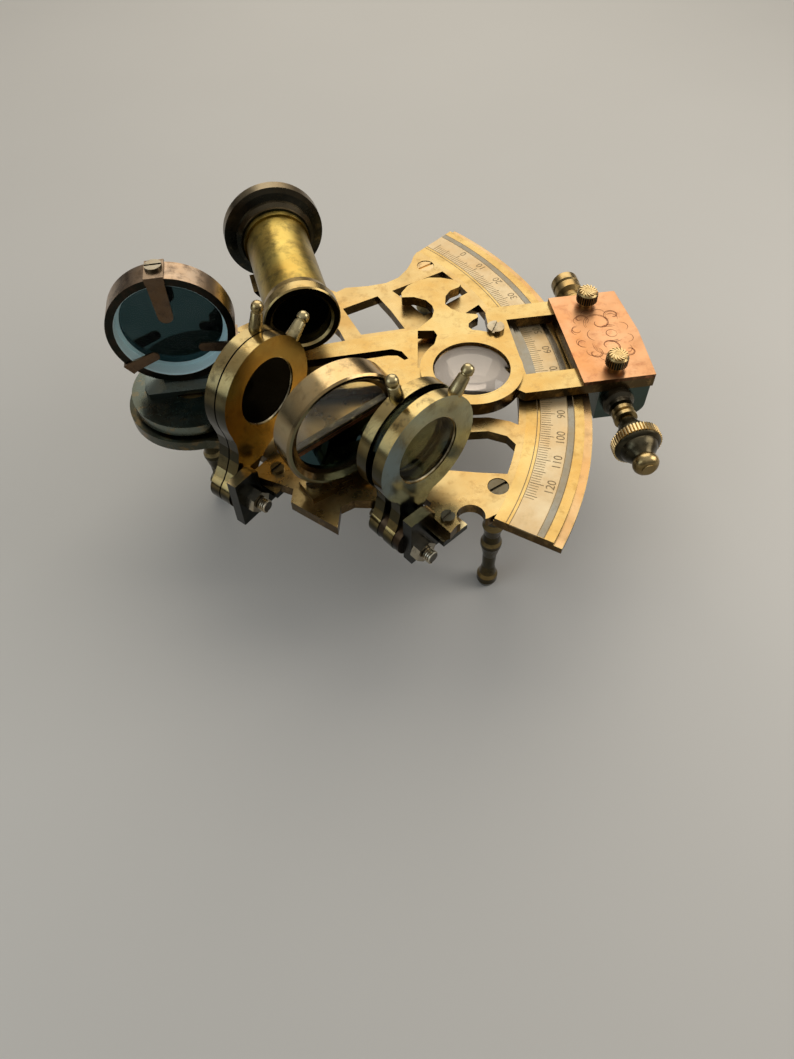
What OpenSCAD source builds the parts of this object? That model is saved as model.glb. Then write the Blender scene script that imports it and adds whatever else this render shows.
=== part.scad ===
// A brass sextant standing on three turned legs, as an assembly of separate sub-parts.
// Millimetres, +Z up. The origin is under the index arm's pivot, on the plane the legs rest on.
// +X runs along the index arm to the middle of the graduated arc, +Y to the telescope's side.

/* [Frame] */
// Outer radius of the graduated arc
limb_r = 92; // [90:0.5:94]
// Thickness of the frame's edge and spokes
plate_t = 2.5; // [2.2:0.1:2.8]
// Length of the three legs
leg_h = 33.5; // [31:0.5:36]
// Largest diameter of a leg
leg_d = 5; // [4.6:0.1:5.4]

/* [Index arm] */
// Thickness of the index arm
arm_t = 2.5; // [2.2:0.1:2.8]
// Gap between the frame and the arm, filled by the pivot's washer
arm_gap = 0.8; // [0.6:0.1:1]
// Radius of the arm's round end over the pivot
disc_r = 14; // [13.5:0.25:14.5]
// Diameter of the pivot
pivot_d = 6; // [5.5:0.25:6.5]
// Free radius of the reading lens
lens_r = 8.4; // [8:0.1:8.8]
// Running clearance between a pin and its hole
running = 0.05; // [0.04:0.01:0.08]

/* [Clamp end] */
// Length of the plate over the arm's end
cover_l = 17; // [16:0.25:18]
// Depth of the block under the arm's end
block_h = 8.6; // [8.2:0.1:9]
// Diameter of the tangent screw
spindle_d = 3; // [2.8:0.1:3.4]
// Diameter of the tangent screw's milled wheel
wheel_d = 10.7; // [10:0.1:11.2]

/* [Mirrors] */
// Outer radius of the index mirror's ring
index_mirror_r = 13.6; // [13.2:0.1:14]
// Outer radius of the horizon mirror's ring
horizon_mirror_r = 13.4; // [13:0.1:13.8]
// Height of the line of sight above the frame
sight_h = 16; // [15.8:0.1:16.4]

/* [Shades] */
// Outer radius of a shade's ring
shade_r = 12.2; // [12:0.05:12.3]
// Radius of a shade's window
shade_hole_r = 7.6; // [7.2:0.1:8]
// Thickness of a shade's frame
shade_t = 2.65; // [2.4:0.05:2.7]
// Diameter of a shade bolt
bolt_d = 2.4; // [2.2:0.1:2.6]

/* [Telescope] */
// Radius of the telescope's tube
tube_r = 7.6; // [7.4:0.05:7.8]
// Radius of the telescope's eye cup
cup_r = 12.2; // [11.8:0.1:12.4]

/* [Hidden] */
$fn = 96;
// One unit of the plan, which was drawn for an arc of 92 mm
plan = limb_r / 92;
top_z = leg_h + plate_t;
limb_half = 37.75;
limb_in = 77 * plan;
arc_out = 90.1 * plan;
arc_t = 0.9;
strip_in = 80.3 * plan;
strip_out = 86.4 * plan;
strip_t = 0.4;
apex_r = disc_r + 1.4;
arm_bottom = arm_gap;
arm_top = arm_gap + arm_t;
seat_gap = 0.05;
head_d = 4.4;
head_h = 1.3;
screw_d = 2.2;
axle_head_d = pivot_d + 3;
axle_head_h = 0.8;
washer_d = pivot_d + 6;

near_leg = [63.6, -38.9] * plan;
far_leg = [61.6, 40.4] * plan;

// Clamp end
cover_x = 88.5 * plan;
cover_half = 15.6;
cover_t = 1;
block_x = limb_r + 0.8;
block_l = cover_x + cover_l - 0.6 - block_x;
spindle_x = block_x + 4.6;
spindle_z = arm_bottom - 2.9;
thumb_x = cover_x + 8.5;
thumb_y = 11.8;
thumb_d = 2.4;

// Reading lens
lens_at = [64.4 * plan, -6.3];
lens_ring_r = lens_r + 3.6;
lens_ring_h = 0.9;
lens_dome_r = 15;

// Vernier
vernier_y0 = -9.6;
vernier_y1 = 10.4;
// Clearance between the vernier's edge and the scale's strip
vernier_gap = 0.2;
vernier_screw_at = [73.2 * plan, 7.3];

// Index mirror
index_mirror_z = arm_top + 2 + index_mirror_r;
mirror_depth = 6.4;
mirror_rim = 1.7;
mirror_x = -1.2;
mirror_face_y = -0.6;
mirror_seat = 3.4;
clip_t = 0.5;
// Each clip: its place round the ring, reach over the glass, width and slant
clips = [[91, 10.6, 4, 0], [217, 7.6, 2.8, -14], [337, 7.6, 2.8, 16]];

// Horizon mirror
horizon_az = -65;
horizon_at = [33.2, -33.3] * plan;
horizon_depth = 6;
horizon_rim = 1.9;
horizon_split = 8;

// Telescope
scope_az = 97.2;
scope_at = [27.1, 2.2] * plan;
scope_l = 37.8;
tube_wall = 0.9;
objective_r = tube_r + 1.15;
objective_l = 5.2;
cup_l = 7.4;
scope_foot_s = scope_l - cup_l - 7.45;
cradle_t = 1.8;
cradle_w = 7;

// Each set of shades: angle of the sight line through it, distance of the front face, its
// middle, tilt, the bracket's place, its screw, reach from window to bolt, gap between the
// shades, gap before the bracket, spacer's radius there, angle of the back shade's pin
shade_eye_r = 4;
shade_pin_l = 5.4;
shade_pin_angle = 24;
shade_ball_r = 1.3;
glass_t = 1.2;
glass_lip = 0.8;
bracket_t = 2.5;
index_set = [-45.5, 26.5 * plan, -0.45 * plan, 32.5, -10.4 * plan, 17.6 * plan,
  -26.5 * plan, 23.4, 0.35, 0.9, 2.5, -15];
horizon_set = [-56, 60.8 * plan, 16.95 * plan, 17.1, 14.9 * plan, 51.5 * plan,
  -45.5 * plan, 21.9, 1.8, 1.8, 3.8, -30];
nut_r = bolt_d / 2 + 1.5;
nut_h = 2.2;

function polar(r, a) = [r * cos(a), r * sin(a)];
function arc(r, a0, a1, n) = [for (i = [0 : n]) polar(r, a0 + (a1 - a0) * i / n)];
function scaled(points) = [for (p = points) p * plan];

// Heights below are measured from the frame's top
module lift() {
  translate([0, 0, top_z]) children();
}

module slab(z0, z1) {
  translate([0, 0, z0]) linear_extrude(height = z1 - z0) children();
}

module drum(r, z0, z1) {
  translate([0, 0, z0]) cylinder(r = r, h = z1 - z0);
}

// A ring sector of the limb between two radii
module sector(r0, r1, z0, z1, half) {
  intersection() {
    difference() {
      drum(r1, z0, z1);
      drum(r0, z0 - 1, z1 + 1);
    }
    slab(z0, z1) polygon([[0, 0], polar(140, -half), polar(140, half)]);
  }
}

// Frame: the outline's far side, near side and the five windows, in plan
far_edge = [[60.9, 47.2], [60.2, 46.8], [59.1, 45.2], [58, 42.5], [56.4, 39.7], [53.6, 36.5],
  [50, 34.7], [45, 34.2], [39.1, 34.5], [36.6, 33.1], [34.5, 34.7], [31, 34], [-7.6, 13.3]];
near_edge = [[2, -15.2], [8.6, -16.6], [10.4, -17.8], [15.6, -23], [12.2, -26.2], [13.5, -28],
  [20.6, -32.5], [19.8, -36], [28.8, -44.4], [30, -39], [33, -37.8], [36.5, -38.5],
  [37.8, -38.6], [44.1, -34.3], [48.9, -41.2], [47.2, -42.8], [51.3, -49.4], [53.1, -47.5],
  [59.7, -46.9], [61.6, -46.1]];
window_a = [[18, 12.9], [33.5, 21.5], [35.7, 17.5], [36.8, 12.9]];
window_b = [[40.9, 14.9], [37.5, 25.9], [47, 29.5], [49.6, 23], [52, 15.4]];
window_c = concat([[57.6, 19.4], [54.8, 25], [51.1, 31.1], [65.7, 37.1]],
  arc(75.4, 29.4, 20.9, 4));
window_d = concat([[60, -17], [58.6, -6], [58.6, 6], [60, 13.1]], arc(75.4, 16.6, -17, 16),
  [[70.4, -20.6], [66, -18.6], [61.5, -18]]);
window_e = concat([[55, -22.8], [50.5, -30.4], [53.1, -32.5], [60, -34.4]],
  arc(75.4, -28.4, -21.6, 4), [[68.8, -25], [65, -22.8], [60.6, -22.4]]);

module frame_plate() color([0.72, 0.56, 0.28]) lift() {
  difference() {
    union() {
      slab(-plate_t, 0) polygon(scaled(concat(far_edge, near_edge, arc(77.1, -36.6, 37.6, 40))));
      drum(apex_r, -plate_t, 0);
      sector(limb_in - 0.2, limb_r, -plate_t, -arc_t, limb_half);
      sector(75.4 * plan, limb_in, -plate_t, 0, 36);
    }
    for (w = [window_a, window_b, window_c, window_d, window_e])
      slab(-plate_t - 1, 1) polygon(scaled(w));
    translate([56.3, -45.8, 0] * plan) drum(3, -plate_t - 1, 1);
    drum(pivot_d / 2 + running, -plate_t - 1, 1);
    sector(limb_in, limb_r + 1, -arc_t, 1, 45);
    for (p = [near_leg, far_leg]) translate(p) {
      drum(screw_d / 2 + 0.1, -plate_t - 1, 1);
      drum(head_d / 2 + 0.1, -head_h, 1);
    }
    for (s = [index_set, horizon_set]) translate([s[5], s[6], 0])
      drum(screw_d / 2 + 0.1, -plate_t - 1, 1);
    for (p = scope_foot_holes) translate(p) drum(screw_d / 2 + 0.1, -plate_t - 1, 1);
    for (p = horizon_foot_holes) translate(p) drum(screw_d / 2 + 0.1, -plate_t - 1, 1);
  }
}

// The graduated arc is let in: its strip lies in a groove
module scale_arc() color([0.8, 0.63, 0.33]) lift() {
  difference() {
    sector(limb_in, arc_out, -arc_t, 0, limb_half);
    sector(strip_in, strip_out, -strip_t, 1, limb_half + 5);
  }
}

module scale_strip() color([0.86, 0.82, 0.66]) lift() {
  sector(strip_in + seat_gap, strip_out - seat_gap, -strip_t, 0, limb_half);
}

// A turned leg: collar, beads, waist and foot
module leg(tapped) {
  r = leg_d / 2;
  difference() {
    rotate_extrude() polygon([[0, 0], [0.76 * r, 0], [r, 1.6], [r, 3.4], [0.8 * r, 4.4],
      [0.62 * r, 7], [0.66 * r, leg_h - 22], [0.86 * r, leg_h - 19.4], [r, leg_h - 18],
      [r, leg_h - 17], [0.84 * r, leg_h - 16], [0.74 * r, leg_h - 14], [0.92 * r, leg_h - 11.6],
      [r, leg_h - 11], [0.92 * r, leg_h - 10.4], [0.8 * r, leg_h - 9.4], [0.94 * r, leg_h - 7.6],
      [0.94 * r, leg_h - 5.6], [0.84 * r, leg_h - 5], [0.98 * r, leg_h - 4.2],
      [0.98 * r, leg_h - 3.2], [0.9 * r, leg_h - 2.6], [0.94 * r, leg_h], [0, leg_h]]);
    if (tapped) drum(screw_d / 2 + seat_gap, leg_h - 5.6, leg_h + 1);
  }
}

module leg_near() color([0.32, 0.26, 0.16]) translate(near_leg) leg(true);
module leg_far() color([0.32, 0.26, 0.16]) translate(far_leg) leg(true);

// The apex leg's collar is wider: it closes the pivot's lower end
module leg_apex() color([0.32, 0.26, 0.16]) {
  difference() {
    union() {
      leg(false);
      drum(pivot_d / 2 + 1.6, leg_h - 2.6, leg_h);
    }
    drum(1.5 + seat_gap, leg_h - 7, leg_h + 1);
  }
}

// A slotted screw from its head's top, sunk or raised
module slot_screw(head_r, head, shank_r, shank, slot = 0.7) {
  difference() {
    union() {
      drum(head_r, 0, head);
      drum(shank_r, -shank, 0.1);
    }
    translate([0, 0, head]) cube([2 * head_r + 1, slot, 0.9], center = true);
  }
}

module leg_screws() color([0.5, 0.46, 0.38]) lift() {
  for (p = [near_leg, far_leg]) translate([p[0], p[1], -head_h]) rotate([0, 0, 25])
    slot_screw(head_d / 2, head_h - 0.15, screw_d / 2, plate_t - head_h + 4.8);
}

module pivot_axle() color([0.6, 0.5, 0.3]) lift() {
  drum(pivot_d / 2, -plate_t, arm_top - 0.15);
  drum(axle_head_d / 2, arm_top - 0.15 - axle_head_h, arm_top - 0.15);
  drum(1.5, -plate_t - 6, -plate_t + 0.1);
}

module pivot_washer() color([0.7, 0.6, 0.35]) lift() {
  difference() {
    drum(washer_d / 2, 0, arm_gap);
    drum(pivot_d / 2 + running, -1, arm_gap + 1);
  }
}

// Telescope: its own axis runs along local +X from the objective's face to the eye cup
module along_scope() {
  translate([scope_at[0], scope_at[1], sight_h]) rotate([0, 0, scope_az]) children();
}

module turned(points) {
  rotate([0, 90, 0]) rotate_extrude() polygon(points);
}

module scope_barrel() color([0.66, 0.55, 0.24]) lift() along_scope() {
  turned([[tube_r - tube_wall, 1.6], [tube_r, 1.6], [tube_r, scope_l - cup_l],
    [tube_r + 0.5, scope_l - cup_l], [tube_r + 0.5, scope_l - cup_l + 1.6],
    [tube_r - 0.5, scope_l - cup_l + 1.6], [tube_r - 0.5, scope_l - 3],
    [tube_r - tube_wall - 0.5, scope_l - 3], [tube_r - tube_wall - 0.5, scope_l - cup_l + 1],
    [tube_r - tube_wall, scope_l - cup_l + 0.4]]);
}

module scope_objective_ring() color([0.5, 0.44, 0.26]) lift() along_scope() {
  turned([[tube_r - tube_wall, 0.5], [tube_r - tube_wall + 0.5, 0], [objective_r - 0.3, 0],
    [objective_r, 0.3], [objective_r, 2.6], [objective_r - 0.3, 3], [tube_r + 0.3, objective_l],
    [tube_r + seat_gap, objective_l], [tube_r + seat_gap, 1.55], [tube_r - tube_wall, 1.55]]);
}

module scope_objective_lens() color([0.3, 0.42, 0.45, 0.4]) lift() along_scope() {
  turned([[0, 3.4], [tube_r - tube_wall - seat_gap, 3.4], [tube_r - tube_wall - seat_gap, 5],
    [0, 5.6]]);
}

// The cup is a stepped funnel screwed on the tube's thinner end
module scope_eye_cup() color([0.25, 0.24, 0.2]) lift() along_scope() {
  s = scope_l - cup_l + 1.65;
  turned([[tube_r - 0.45, s], [tube_r + 1, s], [tube_r + 1, s + 0.7], [tube_r + 1.9, s + 1.2],
    [tube_r + 1.9, s + 2.2], [cup_r - 1.2, s + 2.7], [cup_r, s + 3.2], [cup_r, scope_l],
    [cup_r - 1.1, scope_l], [cup_r - 2.4, scope_l - 1.6], [tube_r - 1.6, scope_l - 2.7],
    [tube_r - 1.6, scope_l - 2.95], [tube_r - 0.45, scope_l - 2.95]]);
}

module scope_eye_lens() color([0.3, 0.42, 0.45, 0.4]) lift() along_scope() {
  turned([[0, scope_l - 5.6], [tube_r - tube_wall - 0.55, scope_l - 5.2],
    [tube_r - tube_wall - 0.55, scope_l - 4], [0, scope_l - 4]]);
}

function on_foot(s, t) = scope_at + s * polar(1, scope_az) + t * polar(1, scope_az - 90);
scope_foot_holes = [on_foot(scope_foot_s - 1.5, -6), on_foot(scope_foot_s + 2.7, 5.6)];
cradle_foot = [[-3.9, -8.4], [1.1, -8.4], [4.9, 2.4], [4.9, 8], [0.9, 8], [-1.7, 3.2],
  [-3.5, -3.4]];

// The cradle: a foot screwed on the frame, a stem and a saddle under the tube
module scope_cradle() color([0.62, 0.5, 0.26]) lift() {
  difference() {
    union() {
      intersection() {
        along_scope() rotate([0, 90, 0])
          drum(tube_r + 1.8, scope_foot_s - cradle_w / 2, scope_foot_s + cradle_w / 2);
        slab(0, sight_h - 0.55 * tube_r) polygon([on_foot(scope_foot_s - 9, -20),
          on_foot(scope_foot_s + 9, -20), on_foot(scope_foot_s + 9, 20),
          on_foot(scope_foot_s - 9, 20)]);
      }
      slab(0, cradle_t) polygon([for (p = cradle_foot) on_foot(scope_foot_s + p[0], p[1])]);
      slab(0, sight_h - tube_r - 0.6) polygon([on_foot(scope_foot_s - 2.1, -3.2),
        on_foot(scope_foot_s + 2.1, -3.2), on_foot(scope_foot_s + 2.1, 3.2),
        on_foot(scope_foot_s - 2.1, 3.2)]);
    }
    along_scope() rotate([0, 90, 0]) drum(tube_r + seat_gap, 0, scope_l);
    for (p = scope_foot_holes) translate(p) drum(screw_d / 2 + 0.1, -1, 5);
  }
}

module cradle_screws() color([0.5, 0.46, 0.38]) lift() {
  for (p = scope_foot_holes) translate([p[0], p[1], cradle_t]) rotate([0, 0, 70])
    slot_screw(1.9, 1.1, screw_d / 2, 3.8);
}

// Horizon mirror: local +X points out of its front face
module at_horizon() {
  translate([horizon_at[0], horizon_at[1], sight_h]) rotate([0, 0, horizon_az]) children();
}

horizon_foot_holes = [for (k = [-1, 1]) horizon_at - horizon_depth / 2 * polar(1, horizon_az)
  + k * 7.4 * polar(1, horizon_az + 90)];

module horizon_ring() color([0.62, 0.5, 0.28]) lift() at_horizon() {
  turned([[horizon_mirror_r - horizon_rim, -horizon_depth],
    [horizon_mirror_r - 0.4, -horizon_depth], [horizon_mirror_r, -horizon_depth + 0.4],
    [horizon_mirror_r, -0.4], [horizon_mirror_r - 0.4, 0], [horizon_mirror_r - 1, 0],
    [horizon_mirror_r - horizon_rim, -1.1], [horizon_mirror_r - horizon_rim - 0.9, -1.6],
    [horizon_mirror_r - horizon_rim - 0.9, -2.2], [horizon_mirror_r - horizon_rim, -2.2]]);
}

// One half of the round glass, cut along a slanting line
module half_glass(side, t) {
  r = horizon_mirror_r - horizon_rim - seat_gap;
  intersection() {
    rotate([0, -90, 0]) drum(r, 2.25, 2.25 + t);
    rotate([horizon_split, 0, 0]) translate([-20, -30, side > 0 ? 0.05 : -40])
      cube([40, 60, 39.95]);
  }
}

module horizon_clear_glass() color([0.75, 0.85, 0.85, 0.35]) lift() at_horizon() half_glass(1, 1.6);
module horizon_silvered_glass() color([0.3, 0.33, 0.34]) lift() at_horizon() half_glass(-1, 2.2);

module horizon_foot() color([0.58, 0.47, 0.25]) lift() {
  difference() {
    union() {
      at_horizon() translate([-horizon_depth, -9.6, -sight_h]) cube([horizon_depth, 19.2, 1.6]);
      at_horizon() translate([-horizon_depth + 0.4, -4.6, -sight_h])
        cube([horizon_depth - 0.8, 9.2, 4.2]);
    }
    at_horizon() rotate([0, -90, 0]) drum(horizon_mirror_r + seat_gap, -2, horizon_depth + 2);
    for (p = horizon_foot_holes) translate(p) drum(screw_d / 2 + 0.1, -1, 5);
  }
}

module horizon_screws() color([0.5, 0.46, 0.38]) lift() {
  for (p = horizon_foot_holes) translate([p[0], p[1], 1.6]) rotate([0, 0, 10])
    slot_screw(1.8, 1, screw_d / 2, 3.8);
}

// Shades. In a set's own frame +Y is up along the shades, +Z towards the front,
// the origin on the bolt's axis at the front shade's face.
function bolt_u(s) = s[2] - s[7] * sin(s[3]);
function bolt_z(s) = sight_h - s[7] * cos(s[3]);
function pitch(s) = shade_t + s[8];
function pin_angle(s, k) = k > 0 ? -s[11] : -shade_pin_angle;

module at_set(s) {
  rotate([0, 0, s[0]]) translate([s[1], bolt_u(s), bolt_z(s)]) rotate([90, 0, 90]) children();
}

// The shade's plate: a ring, a waisted tail and the eye round the bolt
shade_tail = [[3.6, 1], [3.3, 4], [3.5, 7], [4.3, 9.6], [5.8, 12], [8.2, 14.4]];

module shade_plate(s) {
  translate([0, s[7], 0]) drum(shade_r, 0, shade_t);
  drum(shade_eye_r, 0, shade_t);
  slab(0, shade_t) polygon(concat(shade_tail,
    [for (i = [len(shade_tail) - 1 : -1 : 0]) [-shade_tail[i][0], shade_tail[i][1]]]));
}

module shade_frame(s, k) {
  lift() at_set(s) rotate([0, 0, -s[3]]) translate([0, 0, -shade_t - k * pitch(s)]) {
    difference() {
      shade_plate(s);
      drum(bolt_d / 2 + running, -1, shade_t + 1);
      translate([0, s[7], 0]) {
        drum(shade_hole_r, -1, shade_t + 1);
        drum(shade_hole_r + glass_lip, -1, glass_t);
      }
      translate([0, s[7], shade_t / 2]) rotate([-90, 0, pin_angle(s, k)])
        drum(0.7 + seat_gap, shade_r - 2.2, shade_r + 2);
    }
  }
}

module shade_glass(s, k) {
  lift() at_set(s) rotate([0, 0, -s[3]])
    translate([0, s[7], -shade_t - k * pitch(s)])
      drum(shade_hole_r + glass_lip - seat_gap, 0.1, glass_t);
}

// A ball-topped pin let into the shade's rim
module shade_pin(s, k) {
  lift() at_set(s) rotate([0, 0, -s[3]])
    translate([0, s[7], -shade_t / 2 - k * pitch(s)])
      rotate([-90, 0, pin_angle(s, k)]) {
        drum(0.7, shade_r - 2.1, shade_r + 0.4);
        translate([0, 0, shade_r + 0.15]) cylinder(r1 = 1.1, r2 = 0.85, h = shade_pin_l - 1.8);
        drum(1.1, shade_r + shade_pin_l - 2, shade_r + shade_pin_l - 1.5);
        translate([0, 0, shade_r + shade_pin_l - 0.5]) sphere(r = shade_ball_r);
      }
}

module index_shade_front() color([0.55, 0.43, 0.16]) shade_frame(index_set, 0);
module index_glass_front() color([0.12, 0.13, 0.1, 0.6]) shade_glass(index_set, 0);
module index_pin_front() color([0.8, 0.75, 0.55]) shade_pin(index_set, 0);
module index_shade_back() color([0.4, 0.34, 0.18]) shade_frame(index_set, 1);
module index_glass_back() color([0.12, 0.13, 0.1, 0.6]) shade_glass(index_set, 1);
module index_pin_back() color([0.8, 0.75, 0.55]) shade_pin(index_set, 1);
module horizon_shade_front() color([0.42, 0.4, 0.3]) shade_frame(horizon_set, 0);
module horizon_glass_front() color([0.12, 0.13, 0.1, 0.6]) shade_glass(horizon_set, 0);
module horizon_pin_front() color([0.75, 0.65, 0.35]) shade_pin(horizon_set, 0);
module horizon_shade_back() color([0.42, 0.4, 0.3]) shade_frame(horizon_set, 1);
module horizon_glass_back() color([0.12, 0.13, 0.1, 0.6]) shade_glass(horizon_set, 1);
module horizon_pin_back() color([0.75, 0.65, 0.35]) shade_pin(horizon_set, 1);

// The bracket stands beside the frame's edge in front of the tails; its foot is under the frame
module shade_bracket(s) {
  step = s[4] - bolt_u(s);
  under = -plate_t - bolt_z(s);
  lift() difference() {
    union() {
      at_set(s) {
        translate([0, 0, s[9]]) linear_extrude(height = bracket_t) union() {
          intersection() {
            translate([step - 4.6, under - 0.4]) circle(r = 4.6 + plate_t);
            translate([step - 6.6, under - 6]) square([6.6, 12]);
          }
          polygon([[step - 6.6, under - 0.3], [step - 6.6, under - 6.8],
            [step + 4.6, under - 6.8], [step + 4.6, under - 0.3]]);
        }
        translate([nut_r + 0.4, under - 1.5, s[9] + 0.4]) cube([6.8, 1.5, 6.2]);
      }
    }
    at_set(s) drum(bolt_d / 2 + running, -10, 10);
    translate([s[5], s[6], 0]) drum(screw_d / 2 + 0.1, -20, 5);
  }
}

module index_shade_bracket() color([0.5, 0.42, 0.24]) shade_bracket(index_set);
module horizon_shade_bracket() color([0.5, 0.42, 0.24]) shade_bracket(horizon_set);

module shade_bolt(s) {
  back = shade_t + pitch(s) + 0.3;
  lift() at_set(s) {
    drum(bolt_d / 2, -back, s[9] + bracket_t + nut_h + 2);
    difference() {
      drum(nut_r - 0.4, -back - 1.5, -back);
      translate([0, 0, -back - 1.5]) cube([2 * nut_r + 1, 0.7, 1.2], center = true);
    }
  }
}

module index_shade_bolt() color([0.72, 0.7, 0.62]) shade_bolt(index_set);
module horizon_shade_bolt() color([0.72, 0.7, 0.62]) shade_bolt(horizon_set);

module shade_nuts() color([0.7, 0.72, 0.7]) lift() {
  for (s = [index_set, horizon_set]) at_set(s)
    translate([0, 0, s[9] + bracket_t]) difference() {
      rotate([0, 0, 12]) cylinder(r = nut_r, h = nut_h, $fn = 6);
      drum(bolt_d / 2 + seat_gap, -1, nut_h + 1);
    }
}

// Thin washers between the shades, behind the bracket and under the bolt's head
module shade_washers() color([0.6, 0.45, 0.25]) lift() {
  for (s = [index_set, horizon_set]) at_set(s) for (w = [
      [-pitch(s) + 0.05, s[8] - 0.1, s[10]], [0.05, s[9] - 0.05, s[10]],
      [-shade_t - pitch(s) - 0.3, 0.25, 2.2]])
    difference() {
      drum(w[2], w[0], w[0] + w[1]);
      drum(bolt_d / 2 + seat_gap, w[0] - 1, w[0] + w[1] + 1);
    }
}

module bracket_screws() color([0.6, 0.56, 0.48]) lift() {
  for (s = [index_set, horizon_set]) translate([s[5], s[6], 0]) rotate([0, 0, 40])
    slot_screw(1.5, 0.9, screw_d / 2, plate_t + 2.4);
}

// Index arm, in plan: bar, scroll, lens ring, cross piece, window bars and end plate
scroll_outer = [[54.5, 10.6], [57, 12.8], [58.8, 14.5], [59.7, 17], [59.6, 19], [58.4, 21.4],
  [55.6, 23.2], [52.6, 23.6], [52.7, 25.4], [54.8, 28.1], [57.5, 29.7], [60.7, 30.5],
  [63.8, 29.9], [66.6, 28.6], [68.4, 26.3], [67.6, 25.2], [65.2, 24.2], [63.6, 22.2], [62.9, 19],
  [64, 17], [66, 15], [70, 13.7], [70, 12.6], [68.6, 11.8], [67.2, 10.6], [66.9, 9.2],
  [67.6, 8.1], [69.2, 7.6], [72.6, 6], [72, -4], [60, -4], [53, -6]];
teardrop = [[54.4, 10], [58.3, 9.4], [58.8, 7.6], [57.6, 4.6], [55.2, 0.6], [53.2, -3.2],
  [52.2, -3.2]];
arm_bar = [[8, -11.4], [13.6, -7.4], [20, -6.6], [44, -6.6], [54, -12], [55, -4], [54.4, 10.6],
  [50, 10.4], [20, 8], [13.6, 9], [8, 11.4]];
arm_slot = [[20, 0.9], [20, 3.6], [47.2, 4.4], [49.4, 3.2], [50.6, 0.4], [49.6, 0], [48.2, 1.8],
  [46, 2.2]];

module index_arm() color([0.8, 0.64, 0.34]) lift() {
  difference() {
    union() {
      drum(disc_r, arm_bottom, arm_top);
      slab(arm_bottom, arm_top) {
        difference() {
          union() {
            polygon(scaled(arm_bar));
            polygon(scaled(scroll_outer));
          }
          polygon(scaled(teardrop));
          polygon(scaled(arm_slot));
        }
        polygon(scaled([[70, -8], [71.6, -12.4], [75, -15.6], [76.6, -15.6], [76.6, 15.6],
          [73.4, 15.6], [72, 13.4], [71.6, 6]]));
      }
      translate(lens_at) drum(lens_ring_r, arm_bottom, arm_top + lens_ring_h);
      for (y = [[-cover_half, vernier_y0], [vernier_y1, cover_half]])
        slab(arm_bottom, arm_top) polygon([[75 * plan, y[0]], [cover_x + 1, y[0]],
          [cover_x + 1, y[1]], [75 * plan, y[1]]]);
      slab(arm_bottom, arm_top) polygon([[cover_x, -cover_half], [cover_x + cover_l, -cover_half],
        [cover_x + cover_l + 1, 0], [cover_x + cover_l, cover_half], [cover_x, cover_half]]);
    }
    drum(pivot_d / 2 + running, -5, 9);
    drum(axle_head_d / 2 + 0.15, arm_top - 0.15 - axle_head_h - running, 9);
    translate(lens_at) {
      drum(lens_r, -1, 9);
      drum(lens_r + 0.9, arm_top - 1.4, 9);
    }
    // The vernier's seat and its screw's hole
    slab(-1, arm_bottom + 1) polygon([[74.2 * plan, vernier_y0 - 0.1],
      [78 * plan, vernier_y0 - 0.1], [78 * plan, vernier_y1 + 0.1], [74.2 * plan, vernier_y1 + 0.1]]);
    translate(vernier_screw_at) drum(screw_d / 2 + 0.1, -1, 9);
    for (k = [-1, 1]) translate([thumb_x, k * thumb_y, 0]) drum(thumb_d / 2 + 0.2, -1, 9);
  }
}

module magnifier_lens() color([0.8, 0.9, 0.9, 0.35]) lift() {
  drop = sqrt(pow(lens_dome_r, 2) - pow(lens_r + 0.8, 2));
  translate([lens_at[0], lens_at[1], arm_top - 1.35]) intersection() {
    translate([0, 0, 1.2 - drop]) sphere(r = lens_dome_r);
    drum(lens_r + 0.8, 0, 9);
  }
}

// The vernier lies under the cross piece and over the arc, its edge against the strip
module vernier_plate() color([0.75, 0.75, 0.7]) lift() {
  intersection() {
    union() {
      sector(77.2 * plan, strip_in - vernier_gap, 0.2, arm_bottom + 0.4, 9);
      slab(arm_bottom - 0.6, arm_bottom + 0.95) polygon([[74.5 * plan, -30], [78 * plan, -30],
        [78 * plan, 30], [74.5 * plan, 30]]);
    }
    slab(-1, 9) polygon([[0, vernier_y0], [strip_in, vernier_y0], [strip_in, vernier_y1],
      [0, vernier_y1]]);
  }
  translate(vernier_screw_at) drum(2.6, arm_bottom - 0.6, arm_bottom - 0.02);
  slab(arm_bottom - 0.6, arm_bottom - 0.02) polygon([[73.2 * plan, 4.7], [75 * plan, 4.7],
    [75 * plan, 9.9], [73.2 * plan, 9.9]]);
}

module vernier_screw() color([0.7, 0.68, 0.6]) lift() {
  translate([vernier_screw_at[0], vernier_screw_at[1], arm_top]) rotate([0, 0, 60])
    slot_screw(2.1, 1, screw_d / 2, arm_t - 0.02);
}

// Index mirror: local +X out of its front face, like the horizon mirror
module at_mirror() {
  translate([mirror_x, mirror_face_y, index_mirror_z]) rotate([0, 0, -90]) children();
}

module index_mirror_ring() color([0.45, 0.24, 0.14]) lift() at_mirror() {
  turned([[0, -mirror_depth], [index_mirror_r - 0.5, -mirror_depth],
    [index_mirror_r, -mirror_depth + 0.5], [index_mirror_r, 0],
    [index_mirror_r - mirror_rim, 0], [index_mirror_r - mirror_rim, -mirror_seat],
    [0, -mirror_seat]]);
}

module index_mirror_glass() color([0.1, 0.16, 0.18]) lift() at_mirror() {
  r = index_mirror_r - mirror_rim - seat_gap;
  turned([[0, -mirror_seat], [r, -mirror_seat], [r, -0.55], [r - 0.5, -seat_gap],
    [0, -seat_gap]]);
}

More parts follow.
